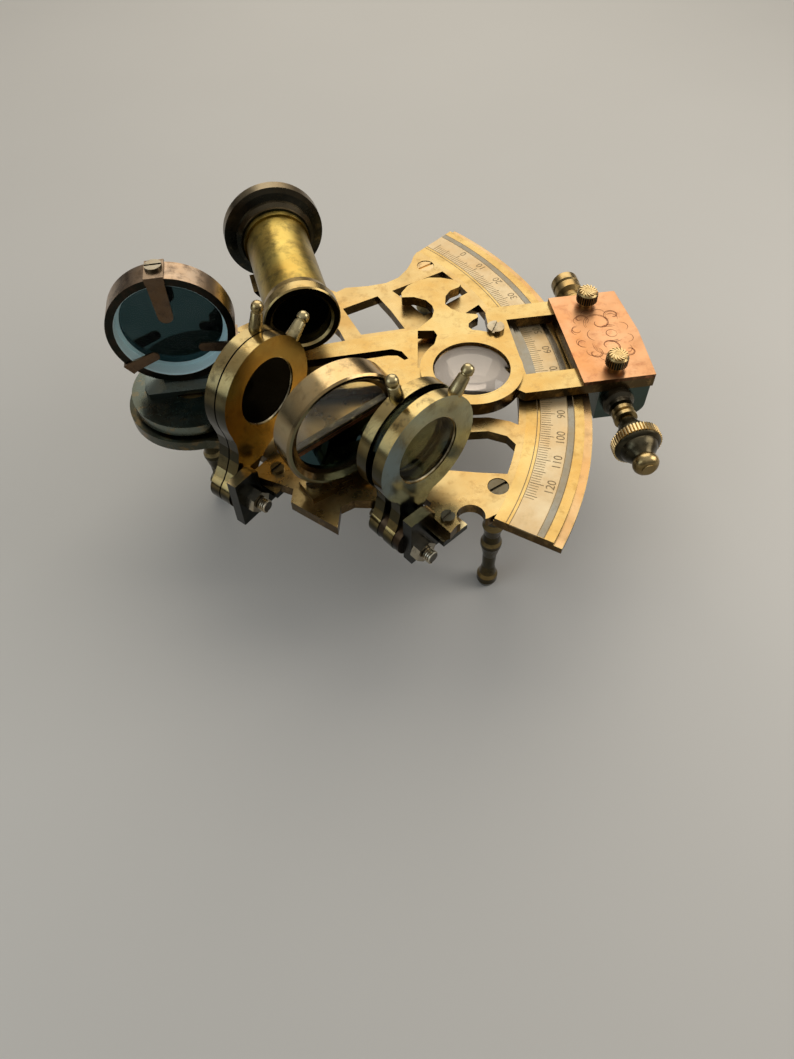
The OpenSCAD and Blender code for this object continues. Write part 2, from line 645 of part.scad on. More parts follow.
// Three bent clips hold the glass: each hooks over the ring's edge and lies on the glass
module mirror_clips() color([0.6, 0.45, 0.22]) lift() at_mirror() {
  for (c = clips) rotate([c[0] - 90, 0, 0]) difference() {
    union() {
      translate([0.02, -c[2] / 2, index_mirror_r - 1])
        cube([clip_t, c[2], 1.1 + clip_t]);
      translate([-mirror_depth + 0.6, -c[2] / 2, index_mirror_r + 0.1])
        cube([mirror_depth - 0.4, c[2], clip_t]);
      translate([0.02, 0, index_mirror_r - 0.6]) rotate([90, 0, 90]) rotate([0, 0, c[3]]) {
        slab(0, clip_t) polygon([[-c[2] / 2 + 0.1, 0], [c[2] / 2 - 0.1, 0],
          [0.4 * c[2], 0.4 * c[2] - c[1] + 0.6], [-0.4 * c[2], 0.4 * c[2] - c[1] + 0.6]]);
        translate([0, 0.4 * c[2] - c[1] + 0.6, 0]) drum(0.4 * c[2], 0, clip_t);
      }
    }
    translate([-mirror_depth / 2, 0, 0]) drum(0.8, index_mirror_r, 30);
  }
}

module clip_screws() color([0.7, 0.66, 0.55]) lift() at_mirror() {
  for (c = clips) rotate([c[0] - 90, 0, 0])
    translate([-mirror_depth / 2, 0, index_mirror_r + 0.1 + clip_t]) rotate([0, 0, c[0]])
      slot_screw(0.45 * c[2], 0.7, 0.7, clip_t + 0.05, 0.5);
}

module index_mirror_foot() color([0.5, 0.36, 0.2]) lift() {
  difference() {
    union() {
      translate([mirror_x, 0, 0]) slab(arm_top, arm_top + 1.4)
        polygon([[-9.4, -1.4], [-8.4, -3.4], [8.4, -3.4], [9.4, -1.4], [9.4, 6.2], [7.4, 8.2],
          [-7.4, 8.2], [-9.4, 6.2]]);
      translate([mirror_x - 5, mirror_face_y + 0.6, arm_top]) cube([10, mirror_depth - 1.2, 5]);
    }
    at_mirror() rotate([0, -90, 0]) drum(index_mirror_r + seat_gap, -3, mirror_depth + 3);
    drum(axle_head_d / 2 + 0.3, 0, arm_top + 0.3);
  }
}

// Clamp end
module clamp_block() color([0.3, 0.24, 0.15]) lift() {
  difference() {
    union() {
      translate([block_x, -cover_half, arm_bottom - block_h + 3])
        cube([block_l, 2 * cover_half, block_h - 3.02]);
      translate([block_x, -cover_half, arm_bottom - block_h])
        cube([block_l - 3, 2 * cover_half, 4]);
      translate([block_x + block_l - 3, cover_half, arm_bottom - block_h + 3])
        rotate([90, 0, 0]) drum(3, 0, 2 * cover_half);
    }
    translate([spindle_x, 0, spindle_z]) rotate([90, 0, 0])
      drum(spindle_d / 2 + running, -30, 30);
    for (k = [-1, 1]) {
      translate([thumb_x, k * thumb_y, 0]) drum(thumb_d / 2 + running, arm_bottom - 1.2, 9);
      translate([spindle_x, k * cover_half, spindle_z]) rotate([90, 0, 0])
        drum(bush_r + seat_gap, -2, 2);
    }
  }
}

module cover_plate() color([0.78, 0.45, 0.26]) lift() {
  difference() {
    slab(arm_top, arm_top + cover_t) polygon([[cover_x, -cover_half],
      [cover_x + cover_l, -cover_half], [cover_x + cover_l + 1, 0],
      [cover_x + cover_l, cover_half], [cover_x, cover_half]]);
    for (k = [-1, 1]) translate([thumb_x, k * thumb_y, 0]) drum(thumb_d / 2 + 0.2, 0, 9);
  }
}

bush_r = spindle_d / 2 + 1.4;

// Silver bushes let into the block's two ends guide the tangent screw
module spindle_bushes() color([0.75, 0.74, 0.68]) lift() {
  for (k = [-1, 1]) translate([spindle_x, k * cover_half, spindle_z]) rotate([-90 * k, 0, 0])
    rotate_extrude() polygon([[spindle_d / 2 + running, -1.95], [bush_r, -1.95], [bush_r, 0.02],
      [bush_r + 0.8, 0.02], [bush_r + 0.8, 1.6], [bush_r, 2.2], [bush_r, 3.4],
      [spindle_d / 2 + running, 3.4]]);
}

near_end = cover_half + 23.6;
far_end = cover_half + 14.6;

module along_spindle() {
  translate([spindle_x, 0, spindle_z]) rotate([90, 0, 0]) children();
}

module tangent_spindle() color([0.66, 0.55, 0.3]) lift() along_spindle() {
  r = spindle_d / 2;
  rotate_extrude() polygon([[0, -far_end + 1], [r, -far_end + 1], [r, cover_half + 3.9],
    [r + 1.1, cover_half + 4.2], [r + 1.1, cover_half + 5.2], [r + 0.3, cover_half + 5.6],
    [r + 1.2, cover_half + 6.1], [r + 1.2, cover_half + 7], [r, cover_half + 7.4],
    [r, near_end - 1], [0, near_end - 1]]);
}

// The near knob: flared cone, milled wheel, cone and end cap
module near_knob() color([0.28, 0.24, 0.17]) lift() along_spindle() {
  r = spindle_d / 2 + seat_gap;
  w = wheel_d / 2;
  y = cover_half;
  rotate_extrude() polygon([[r, y + 8], [r + 0.6, y + 8], [r + 1, y + 9.4], [r + 2.4, y + 11.4],
    [r + 2.4, y + 12.2], [w - 0.4, y + 12.6], [w, y + 13], [w, y + 15.4], [w - 0.4, y + 15.8],
    [r + 2.6, y + 16.2], [r + 2.6, y + 17], [r + 1.1, y + 18.6], [r + 0.9, y + 19.4],
    [r + 1.7, y + 20.2], [r + 1.7, near_end - 0.7], [r + 1.2, near_end], [0, near_end],
    [0, near_end - 0.98], [r, near_end - 0.98]]);
}

module far_knob() color([0.32, 0.26, 0.16]) lift() along_spindle() {
  r = spindle_d / 2 + seat_gap;
  y = cover_half;
  rotate_extrude() polygon([[r, -y - 3.8], [r + 1.2, -y - 3.8], [r + 1.5, -y - 5], [r + 0.9, -y - 6],
    [r + 0.9, -y - 7.4], [r + 2, -y - 8.2], [r + 2, -y - 10.4], [r + 1.3, -y - 10.9],
    [r + 2, -y - 11.4], [r + 2, -y - 13.6], [r + 1.2, -far_end], [0, -far_end],
    [0, -far_end + 0.98], [r, -far_end + 0.98]]);
}

// A thumb screw: milled head over the cover, plain shank down into the block
module thumb_screw(side) {
  lift() translate([thumb_x, side * thumb_y, 0]) {
    z = arm_top + cover_t;
    drum(thumb_d / 2, arm_bottom - 1, z + 0.3);
    rotate_extrude() polygon([[0, z + 0.05], [1.7, z + 0.05], [1.7, z + 0.9], [2.45, z + 1.2],
      [2.45, z + 3.4], [2.1, z + 3.8], [1.2, z + 4.1], [0, z + 4.1]]);
  }
}

module thumb_screw_near() color([0.7, 0.56, 0.3]) thumb_screw(-1);
module thumb_screw_far() color([0.7, 0.56, 0.3]) thumb_screw(1);

frame_plate();
scale_arc();
scale_strip();
leg_near();
leg_far();
leg_apex();
leg_screws();
pivot_axle();
pivot_washer();
scope_barrel();
scope_objective_ring();
scope_eye_cup();
scope_objective_lens();
scope_eye_lens();
scope_cradle();
cradle_screws();
horizon_foot();
horizon_ring();
horizon_clear_glass();
horizon_silvered_glass();
horizon_screws();
index_shade_bracket();
horizon_shade_bracket();
index_shade_bolt();
horizon_shade_bolt();
shade_nuts();
shade_washers();
bracket_screws();
index_arm();
magnifier_lens();
vernier_plate();
vernier_screw();
index_mirror_foot();
index_mirror_ring();
index_mirror_glass();
mirror_clips();
clip_screws();
clamp_block();
cover_plate();
spindle_bushes();
tangent_spindle();
near_knob();
far_knob();
thumb_screw_near();
thumb_screw_far();
index_shade_front();
index_glass_front();
index_pin_front();
index_shade_back();
index_glass_back();
index_pin_back();
horizon_shade_front();
horizon_glass_front();
horizon_pin_front();
horizon_shade_back();
horizon_glass_back();
horizon_pin_back();
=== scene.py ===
"""Dresses the brass sextant's CAD frame: finishes, engraved scale, milled and threaded details.

Laid out as an add-on that is also run as a script. Lengths are written in millimetres and
turned into metres by MM. The frame's own axes are used: +Z up, the origin under the pivot.
"""

import math

import bmesh
import bpy
from mathutils import Euler, Matrix, Vector


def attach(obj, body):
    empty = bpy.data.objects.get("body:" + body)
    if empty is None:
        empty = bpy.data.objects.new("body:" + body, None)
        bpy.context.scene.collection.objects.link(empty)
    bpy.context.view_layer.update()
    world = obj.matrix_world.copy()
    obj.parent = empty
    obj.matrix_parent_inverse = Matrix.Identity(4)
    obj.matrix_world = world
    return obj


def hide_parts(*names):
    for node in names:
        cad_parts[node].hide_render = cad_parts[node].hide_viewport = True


bl_info = {
    "name": "Brass sextant dressing",
    "version": (1, 0, 0),
    "blender": (4, 5, 0),
    "location": "View3D > Sidebar > Sextant",
    "description": "Finishes and fine detail for the sextant's frame",
    "category": "Object",
}

MM = 0.001
# The height of the scale's face, which the other heights are measured from
TOP_Z = 36.0
# Faces of a new piece that meet at more than this keep a crisp edge
SHARP = math.radians(35)
# The scale: where its ticks begin, the middle of its numerals, the limb's two ends, and the
# angle of its zero
TICK_R, DIGIT_R, LIMB_END, ZERO_ANGLE = 80.5, 85.0, 37.7, 31.1
# The cover plate's face and the depth of its engraving
COVER_Z, ENGRAVED = 4.29, 0.022
# The glass of the index mirror: its radius, its silvered back and its front
GLASS_R, GLASS_BACK, GLASS_FRONT = 11.895, -3.34, -0.04
# The photograph's camera: its place over the scale's face, its axes to the right and ahead,
# and its focal length as a share of the picture's height
VIEW_FROM = (28.69, -143.26, 129.59)
VIEW_RIGHT = (0.98876, -0.14809, -0.0185)
VIEW_AHEAD = (0.0743, 0.5956, -0.7998)
FOCAL = 795.0 / 1059.0
SENSOR = 36.0

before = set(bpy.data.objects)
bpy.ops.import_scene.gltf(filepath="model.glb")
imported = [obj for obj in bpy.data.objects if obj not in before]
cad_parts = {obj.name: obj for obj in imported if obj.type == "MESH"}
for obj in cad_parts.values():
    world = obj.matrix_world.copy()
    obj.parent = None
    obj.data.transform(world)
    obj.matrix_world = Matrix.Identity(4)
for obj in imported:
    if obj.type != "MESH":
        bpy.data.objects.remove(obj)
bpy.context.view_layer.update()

# Finishes


def links_of(material):
    """The material's node tree, emptied, with its shader and output linked."""
    material.use_nodes = True
    tree = material.node_tree
    tree.nodes.clear()
    out = tree.nodes.new("ShaderNodeOutputMaterial")
    shader = tree.nodes.new("ShaderNodeBsdfPrincipled")
    tree.links.new(shader.outputs["BSDF"], out.inputs["Surface"])
    return tree, shader


def noise(tree, coordinates, scale, detail=4.0, roughness=0.6, stretch=(1, 1, 1)):
    """A noise texture of that scale on object coordinates, stretched along the axes."""
    mapping = tree.nodes.new("ShaderNodeMapping")
    mapping.inputs["Scale"].default_value = stretch
    tree.links.new(coordinates, mapping.inputs["Vector"])
    node = tree.nodes.new("ShaderNodeTexNoise")
    node.inputs["Scale"].default_value = scale
    node.inputs["Detail"].default_value = detail
    node.inputs["Roughness"].default_value = roughness
    tree.links.new(mapping.outputs["Vector"], node.inputs["Vector"])
    return node.outputs["Fac"]


def ramp(tree, value, low, high, start=0.0, end=1.0):
    """value between low and high, as a float from start to end."""
    node = tree.nodes.new("ShaderNodeMapRange")
    node.inputs["From Min"].default_value = low
    node.inputs["From Max"].default_value = high
    node.inputs["To Min"].default_value = start
    node.inputs["To Max"].default_value = end
    tree.links.new(value, node.inputs["Value"])
    return node.outputs["Result"]


def mixed(tree, factor, a, b):
    """A colour between a and b; each is a colour or another node's output."""
    node = tree.nodes.new("ShaderNodeMix")
    node.data_type = "RGBA"
    tree.links.new(factor, node.inputs[0])
    for socket, colour in ((node.inputs[6], a), (node.inputs[7], b)):
        if isinstance(colour, bpy.types.NodeSocket):
            tree.links.new(colour, socket)
        else:
            socket.default_value = (*colour, 1.0)
    return node.outputs[2]


def along(tree, vector, axis):
    """The length of a vector output along an axis."""
    node = tree.nodes.new("ShaderNodeVectorMath")
    node.operation = "DOT_PRODUCT"
    tree.links.new(vector, node.inputs[0])
    node.inputs[1].default_value = axis
    return node.outputs["Value"]


def metal(name, top, side, dark, rough=(0.2, 0.4), face=None, zones=(), climb=(0.35, 1.05),
          grain=0.12, tarnish=(0.52, 0.72), metallic=1.0, brushed=(1, 9, 1)):
    """An aged metal, clouded and spotted, lit on top and shaded on its sides by painted light.

    top is the painted lit colour, side the painted shade colour, dark the tarnish spots' colour.
    face is (axis, colour) for the faces that look along axis: painted shade or reflection. Each
    zone is (axis, low, high, colour): the colour takes over between two places, in mm along that
    axis. A face may have a zone's four values after its own, for a second colour that it fades
    to. climb is how far up a surface has to face before the lit colour comes in and has taken
    over.
    """
    material = bpy.data.materials.new(name)
    tree, shader = links_of(material)
    node = tree.nodes.new("ShaderNodeTexCoord")
    place, normal = node.outputs["Object"], node.outputs["Normal"]
    # Painted light: the painted shade side colour turns to the lit top colour as a surface faces
    # up
    painted_light_noise = noise(tree, place, 55, 5, 0.65)
    lift = tree.nodes.new("ShaderNodeMath")
    lift.operation = "MULTIPLY_ADD"
    lift.inputs[1].default_value = 0.5
    tree.links.new(painted_light_noise, lift.inputs[0])
    tree.links.new(along(tree, normal, (0, 0, 1)), lift.inputs[2])
    colour = mixed(tree, ramp(tree, lift.outputs[0], *climb), side, top)
    # Painted shade or painted reflection on the faces that look along the face's axis
    if face is not None:
        axis, tone, *fade = face
        if fade:
            share = ramp(tree, along(tree, place, fade[0]), fade[1] * MM, fade[2] * MM)
            tone = mixed(tree, share, tone, fade[3])
        colour = mixed(tree, ramp(tree, along(tree, normal, axis), 0.9, 0.97), colour, tone)
    for axis, low, high, tone in zones:
        share = ramp(tree, along(tree, place, axis), low * MM, high * MM)
        colour = mixed(tree, share, colour, tone)
    cloud = noise(tree, place, 90, 5, 0.62)
    shade = tree.nodes.new("ShaderNodeMix")
    shade.data_type = "RGBA"
    shade.blend_type = "MULTIPLY"
    shade.inputs[0].default_value = 1.0
    tree.links.new(colour, shade.inputs[6])
    tree.links.new(mixed(tree, ramp(tree, cloud, 0.36, 0.66), (1, 1, 1), (0.9, 0.76, 0.58)),
                   shade.inputs[7])
    spots = noise(tree, place, 380, 9, 0.7)
    colour = mixed(tree, ramp(tree, spots, *tarnish, 0.0, 0.75), shade.outputs[2], dark)
    tree.links.new(colour, shader.inputs["Base Color"])
    shader.inputs["Metallic"].default_value = metallic
    smear = noise(tree, place, 160, 6, 0.6)
    tree.links.new(ramp(tree, smear, 0.3, 0.7, *rough), shader.inputs["Roughness"])
    scratch = noise(tree, place, 420, 3, 0.5, brushed)
    bump = tree.nodes.new("ShaderNodeBump")
    bump.inputs["Strength"].default_value = grain
    bump.inputs["Distance"].default_value = 0.05 * MM
    tree.links.new(scratch, bump.inputs["Height"])
    tree.links.new(bump.outputs["Normal"], shader.inputs["Normal"])
    return material


def glassy(name, colour, transmission, rough, ior=1.5, dust=0.02, alpha=1.0, metallic=0.0):
    """Glass with a faint film of dust and smears."""
    material = bpy.data.materials.new(name)
    tree, shader = links_of(material)
    place = tree.nodes.new("ShaderNodeTexCoord").outputs["Object"]
    film = noise(tree, place, 190, 7, 0.65)
    pale = tuple(min(1, c + dust * 4) for c in colour)
    tree.links.new(mixed(tree, ramp(tree, film, 0.45, 0.8), colour, pale),
                   shader.inputs["Base Color"])
    tree.links.new(ramp(tree, film, 0.4, 0.8, rough, rough + dust * 4),
                   shader.inputs["Roughness"])
    shader.inputs["Transmission Weight"].default_value = transmission
    shader.inputs["IOR"].default_value = ior
    shader.inputs["Metallic"].default_value = metallic
    shader.inputs["Alpha"].default_value = alpha
    return material


MATERIALS = {}
INDEX_SIGHT = (0.7009, -0.7133, 0)
HORIZON_SIGHT = (0.5592, -0.829, 0)
HORIZON_MIRROR = (0.4226, -0.9063, 0)
SCOPE_FRONT = (0.1253, -0.9921, 0)
# Painted shade colours: a dark olive for the objective ring's shaded sides, and a near-black for
# shaded sides and dark front faces
OLIVE = (0.06, 0.052, 0.025)
PAINTED_SHADE_BLACK = (0.018, 0.02, 0.017)


def make_materials(settings):
    """Every finish the object has, by name."""
    # Most metals below are lit and shaded copies of one metal: a lit top colour and a painted
    # shade side colour; the third colour is tarnish spots
    MATERIALS.update(
        brass=metal("brass", settings.brass_colour, (0.09, 0.06, 0.023), (0.3, 0.18, 0.065),
                    zones=[((-1, 0, 0), -12, -5, (0.075, 0.085, 0.07))]),
        arc=metal("arc_brass", (0.6, 0.44, 0.18), (0.1, 0.068, 0.028), (0.33, 0.2, 0.06)),
        arm=metal("arm_brass", (0.58, 0.44, 0.19), (0.085, 0.06, 0.028), (0.36, 0.23, 0.09),
                  (0.18, 0.34), zones=[((-1, 0, 0), -18, -12, (0.16, 0.2, 0.19))]),
        rod=metal("turned_brass", (0.6, 0.47, 0.24), (0.2, 0.15, 0.065), (0.16, 0.11, 0.04)),
        dark=metal("dark_bronze", (0.2, 0.15, 0.07), (0.05, 0.042, 0.022),
                   (0.02, 0.016, 0.01)),
        # The mirror foot's pale teal top is a painted reflection of the sky on a near-black metal
        base=metal("blackened_base", (0.24, 0.3, 0.29), (0.025, 0.036, 0.034),
                   (0.2, 0.17, 0.1), (0.18, 0.36), tarnish=(0.6, 0.85), metallic=0.6),
        block=metal("blackened_block", (0.18, 0.2, 0.18), (0.05, 0.075, 0.07),
                    (0.08, 0.08, 0.06), (0.14, 0.3), tarnish=(0.62, 0.85)),
        # The objective ring's near-black front face is painted shade
        olive=metal("olive_bronze", (0.62, 0.5, 0.24), OLIVE, (0.04, 0.03, 0.012),
                    face=(SCOPE_FRONT, (0.014, 0.012, 0.003))),
        leg=metal("leg_bronze", (0.5, 0.4, 0.2), (0.055, 0.048, 0.025), (0.015, 0.013, 0.01),
                  (0.16, 0.34)),
        # The index front shade's face, golden fading to olive upwards, is a painted reflection
        shade_front=metal("golden_shade", (0.5, 0.4, 0.19), (0.03, 0.028, 0.014),
                          (0.12, 0.075, 0.02), (0.12, 0.24), climb=(0.5, 1.2),
                          face=(INDEX_SIGHT, (0.47, 0.31, 0.07), (0.5, 0.5, 0.7), 25, 44,
                                (0.16, 0.13, 0.05))),
        shade_index=metal("olive_shade", (0.42, 0.34, 0.17), (0.028, 0.026, 0.014),
                          (0.04, 0.03, 0.015), (0.12, 0.24), climb=(0.5, 1.2)),
        # The horizon shades' slate front faces are a painted reflection
        shade_grey=metal("slate_shade", (0.56, 0.44, 0.2), (0.05, 0.045, 0.02),
                         (0.04, 0.035, 0.02), (0.12, 0.24), climb=(0.5, 1.2),
                         face=(HORIZON_SIGHT, (0.17, 0.225, 0.235))),
        bracket=metal("bracket_bronze", (0.62, 0.54, 0.34), (0.012, 0.014, 0.011),
                      (0.04, 0.034, 0.02), (0.14, 0.3)),
        # The horizon mirror ring's dark front face is painted shade
        mirror_ring=metal("mirror_ring_brass", (0.66, 0.52, 0.29), (0.2, 0.16, 0.09),
                          (0.24, 0.17, 0.08), (0.12, 0.24), climb=(0.4, 1.1),
                          face=(HORIZON_MIRROR, (0.16, 0.155, 0.09))),
        pin=metal("pin_brass", (0.64, 0.55, 0.32), (0.3, 0.25, 0.12), (0.2, 0.15, 0.06),
                  (0.2, 0.34)),
        # The index mirror ring's near-black front face is painted shade
        red=metal("red_bronze", (0.5, 0.38, 0.28), (0.5, 0.39, 0.29), (0.05, 0.03, 0.02),
                  face=((0, -1, 0), PAINTED_SHADE_BLACK), tarnish=(0.46, 0.66)),
        # The washers are darkened so the wide spacers read as shaded gaps: painted shade
        washer=metal("washer_bronze", (0.075, 0.052, 0.035), (0.03, 0.022, 0.015),
                     (0.03, 0.02, 0.015)),
        clip=metal("clip_bronze", (0.34, 0.26, 0.19), (0.13, 0.09, 0.06), (0.05, 0.035, 0.025),
                   (0.2, 0.36), tarnish=(0.5, 0.7)),
        copper=metal("copper", settings.copper_colour, (0.1, 0.05, 0.025), (0.42, 0.17, 0.08),
                     (0.28, 0.44)),
        ivory=metal("silvered_scale", settings.scale_colour, (0.3, 0.24, 0.14), (0.5, 0.38, 0.2),
                    (0.3, 0.46), grain=0.06, tarnish=(0.56, 0.8), metallic=0.6),
        silver=metal("silvered_metal", (0.24, 0.235, 0.21), (0.12, 0.12, 0.11),
                     (0.16, 0.14, 0.1), (0.16, 0.3)),
        steel=metal("steel", (0.46, 0.43, 0.35), (0.14, 0.13, 0.1), (0.1, 0.085, 0.06)),
        nut=metal("nut_steel", (0.62, 0.6, 0.52), (0.3, 0.28, 0.22), (0.12, 0.1, 0.07),
                  (0.14, 0.28)),
        dark_steel=metal("dark_steel", (0.15, 0.14, 0.11), (0.07, 0.065, 0.05),
                         (0.04, 0.035, 0.025)),
        leg_screw=metal("leg_screw_bronze", (0.13, 0.12, 0.09), (0.05, 0.045, 0.035),
                        (0.04, 0.03, 0.02),
                        zones=[((0, 1, 0), 10, 12, (0.6, 0.45, 0.24))]),
        # Thread crests brighter than the bolt's core: painted highlight
        crest=metal("thread_crest", (0.75, 0.72, 0.62), (0.5, 0.47, 0.38), (0.2, 0.18, 0.13),
                    (0.16, 0.26)),
        # The eye cup's near-black sides and front face are painted shade
        black=metal("black_metal", (0.3, 0.24, 0.15), PAINTED_SHADE_BLACK, (0.12, 0.1, 0.06), (0.2, 0.38),
                    face=(SCOPE_FRONT, (0.03, 0.036, 0.034)), tarnish=(0.55, 0.75)),
        barrel=metal("barrel_brass", (0.66, 0.5, 0.13), (0.22, 0.165, 0.04),
                     (0.17, 0.125, 0.035), (0.24, 0.42), grain=0.16,
                     tarnish=(0.46, 0.66), brushed=(1, 0.2, 1)),
        knob=metal("knob_metal", (0.13, 0.115, 0.075), (0.04, 0.036, 0.022), (0.02, 0.018, 0.01)),
        clear=glassy("clear_glass", (0.9, 0.95, 0.95), 0.92, 0.02),
        # The lens's pinkish tint is a painted reflection of brown surroundings
        lens=glassy("lens_glass", (0.8, 0.72, 0.66), 1.0, 0.0, 1.5, 0.01),
        smoke=glassy("smoke_glass", (0.0012, 0.0011, 0.0007), 0.0, 0.04, 1.05, 0.0004),
        tinted=glassy("tinted_glass", settings.glass_colour, 1.0, 0.0, 1.12, 0.0),
        # The mirror is darkened and tinted teal: a painted reflection of dark surroundings
        mirror=glassy("silvered_glass", (0.03, 0.065, 0.07), 0.0, 0.03, dust=0.004,
                      metallic=1.0),
        frosted=glassy("frosted_edge", (0.72, 0.95, 1.0), 0.0, 0.4, dust=0.01),
        plate=glassy("plate_glass", (0.02, 0.03, 0.03), 0.0, 0.03, dust=0.0, alpha=0.1),
        rose=metal("rose_brass", (0.6, 0.42, 0.23), (0.3, 0.2, 0.11), (0.36, 0.23, 0.11)),
        knurl=metal("milled_brass", (0.78, 0.62, 0.34), (0.5, 0.38, 0.18), (0.2, 0.14, 0.06)),
        retainer=metal("retaining_ring", (0.75, 0.68, 0.5), (0.45, 0.4, 0.26),
                       (0.06, 0.05, 0.03), grain=0.3, tarnish=(0.42, 0.6)),
        speckled=metal("tarnished_edge", (0.07, 0.06, 0.04), (0.04, 0.035, 0.025),
                       (0.4, 0.33, 0.17), (0.3, 0.5), grain=0.4, tarnish=(0.56, 0.66)),
        engraving=metal("engraving", (0.2, 0.08, 0.04), (0.16, 0.06, 0.03),
                        (0.12, 0.05, 0.025), (0.35, 0.55)),
        # Edge colours for the bevels: rubbed wear and painted highlight together
        worn=metal("worn_edge", (0.84, 0.65, 0.33), (0.46, 0.35, 0.16), (0.4, 0.28, 0.12),
                   (0.22, 0.36)),
        worn_dark=metal("worn_dark_edge", (0.66, 0.54, 0.3), (0.22, 0.18, 0.085),
                        (0.1, 0.08, 0.04), tarnish=(0.45, 0.62)),
        ink=metal("scale_ink", (0.3, 0.23, 0.13), (0.2, 0.15, 0.085), (0.14, 0.11, 0.065),
                  (0.4, 0.6), metallic=0.3),
    )


# Shapes, in millimetres


def at(x, y, z):
    """A shift."""
    return Matrix.Translation((x, y, z))


def turn(x, y, z):
    """Turns about X, then Y, then Z, in degrees."""
    return Euler([math.radians(a) for a in (x, y, z)], "XYZ").to_matrix().to_4x4()


def polar(radius, angle):
    """The point at that radius and angle in degrees, in plan."""
    return radius * math.cos(math.radians(angle)), radius * math.sin(math.radians(angle))


def piece(name, body, finish, build, place=None):
    """A new object from build(work), drawn in mm in its own frame and put in its place."""
    work = bmesh.new()
    build(work)
    matrix = Matrix.Scale(MM, 4) @ (LIFT if place is None else place)
    bmesh.ops.transform(work, matrix=matrix, verts=work.verts)
    bmesh.ops.recalc_face_normals(work, faces=work.faces)
    mesh = bpy.data.meshes.new(name)
    work.to_mesh(mesh)
    work.free()
    mesh.polygons.foreach_set("use_smooth", [True] * len(mesh.polygons))
    mesh.set_sharp_from_angle(angle=SHARP)
    mesh.materials.append(MATERIALS[finish])
    obj = bpy.data.objects.new(name, mesh)
    bpy.context.scene.collection.objects.link(obj)
    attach(obj, body)
    return obj


def prism(work, points, low, high):
    """A plan outline raised from low to high."""
    face = work.faces.new([work.verts.new((x, y, low)) for x, y in points])
    raised = bmesh.ops.extrude_face_region(work, geom=[face])
    top = [v for v in raised["geom"] if isinstance(v, bmesh.types.BMVert)]
    bmesh.ops.translate(work, vec=(0, 0, high - low), verts=top)


def block(work, low, high, place=None):
    """A box between two corners, placed by a matrix."""
    size = [b - a for a, b in zip(low, high)]
    middle = [(a + b) / 2 for a, b in zip(low, high)]
    matrix = at(*middle) @ Matrix.Diagonal((*size, 1))
    bmesh.ops.create_cube(work, size=1, matrix=place @ matrix if place else matrix)


def band(work, inner, outer, start, end, low, high, steps=60):
    """A curved strip about the pivot between two radii and two angles."""
    angles = [start + (end - start) * i / steps for i in range(steps + 1)]
    prism(work, [polar(outer, a) for a in angles] + [polar(inner, a) for a in reversed(angles)],
          low, high)


def stroke(work, points, width, low, high):
    """A line of that width along points in plan, thinning to its two ends."""
    sides = []
    for i, (x, y) in enumerate(points):
        ax, ay = points[max(i - 1, 0)]
        bx, by = points[min(i + 1, len(points) - 1)]
        span = math.hypot(bx - ax, by - ay)
        share = i / (len(points) - 1)
        half = width / 2 * (0.35 + 0.65 * math.sin(math.pi * share))
        sides.append((-(by - ay) / span * half, (bx - ax) / span * half))
    left = [(x + dx, y + dy) for (x, y), (dx, dy) in zip(points, sides)]
    right = [(x - dx, y - dy) for (x, y), (dx, dy) in zip(points, sides)]
    prism(work, left + right[::-1], low, high)


def spun(work, profile, steps=72):
    """A closed profile of (radius, height) points turned about the local Z axis."""
    verts = [work.verts.new((r, 0, z)) for r, z in profile]
    edges = [work.edges.new((verts[i - 1], verts[i])) for i in range(len(verts))]
    bmesh.ops.spin(work, geom=verts + edges, cent=(0, 0, 0), axis=(0, 0, 1), dvec=(0, 0, 0),
                   angle=math.tau, steps=steps, use_merge=True, use_duplicate=False)


def crown(work, cuts=14):
    """The thumb screw's top: slanting cuts round a small middle."""
    for i in range(cuts):
        points = [polar(0.75 + 1.45 * j / 6, i * 360 / cuts + 34 * j / 6) for j in range(7)]
        stroke(work, points, 0.42, 3.55, 4.16)


def thread(work, root, crest, pitch, low, high, steps=30):
    """A helical ridge round the local Z axis, with the plain core showing between its turns."""
    verts = [work.verts.new((radius, 0, low + shift * pitch)) for radius, shift in
             ((root, -0.34), (crest, -0.1), (crest, 0.1), (root, 0.34))]
    ridge = work.faces.new(verts)
    count = round((high - low) / pitch * steps)
    bmesh.ops.spin(work, geom=[*verts, *ridge.edges, ridge], cent=(0, 0, 0), axis=(0, 0, 1),
                   dvec=(0, 0, pitch / steps), angle=math.tau * count / steps, steps=count,
                   use_merge=False, use_duplicate=False)


def milled(work, low_r, high_r, low, high, teeth, fill=0.5):
    """A milled band: teeth round the local Z axis."""
    outline = []
    for i in range(teeth):
        for share, radius in ((0, low_r), (0.5 - fill / 2, high_r), (0.5, high_r + 0.03),
                              (0.5 + fill / 2, high_r)):
            outline.append(polar(radius, (i + share) * 360 / teeth))
    prism(work, outline, low, high)


def numeral(work, text, size, place):
    """Plain digits, flat, centred on the placing matrix's origin."""
    curve = bpy.data.curves.new("digits", "FONT")
    curve.body = text
    curve.size = size
    curve.extrude = 0.012
    curve.align_x = "CENTER"
    curve.align_y = "CENTER"
    holder = bpy.data.objects.new("digits", curve)
    bpy.context.scene.collection.objects.link(holder)
    graph = bpy.context.evaluated_depsgraph_get()
    mesh = bpy.data.meshes.new_from_object(holder.evaluated_get(graph))
    mesh.transform(place)
    work.from_mesh(mesh)
    bpy.data.objects.remove(holder)
    bpy.data.curves.remove(curve)
    bpy.data.meshes.remove(mesh)


# The frames that the CAD's sub-assemblies are built in

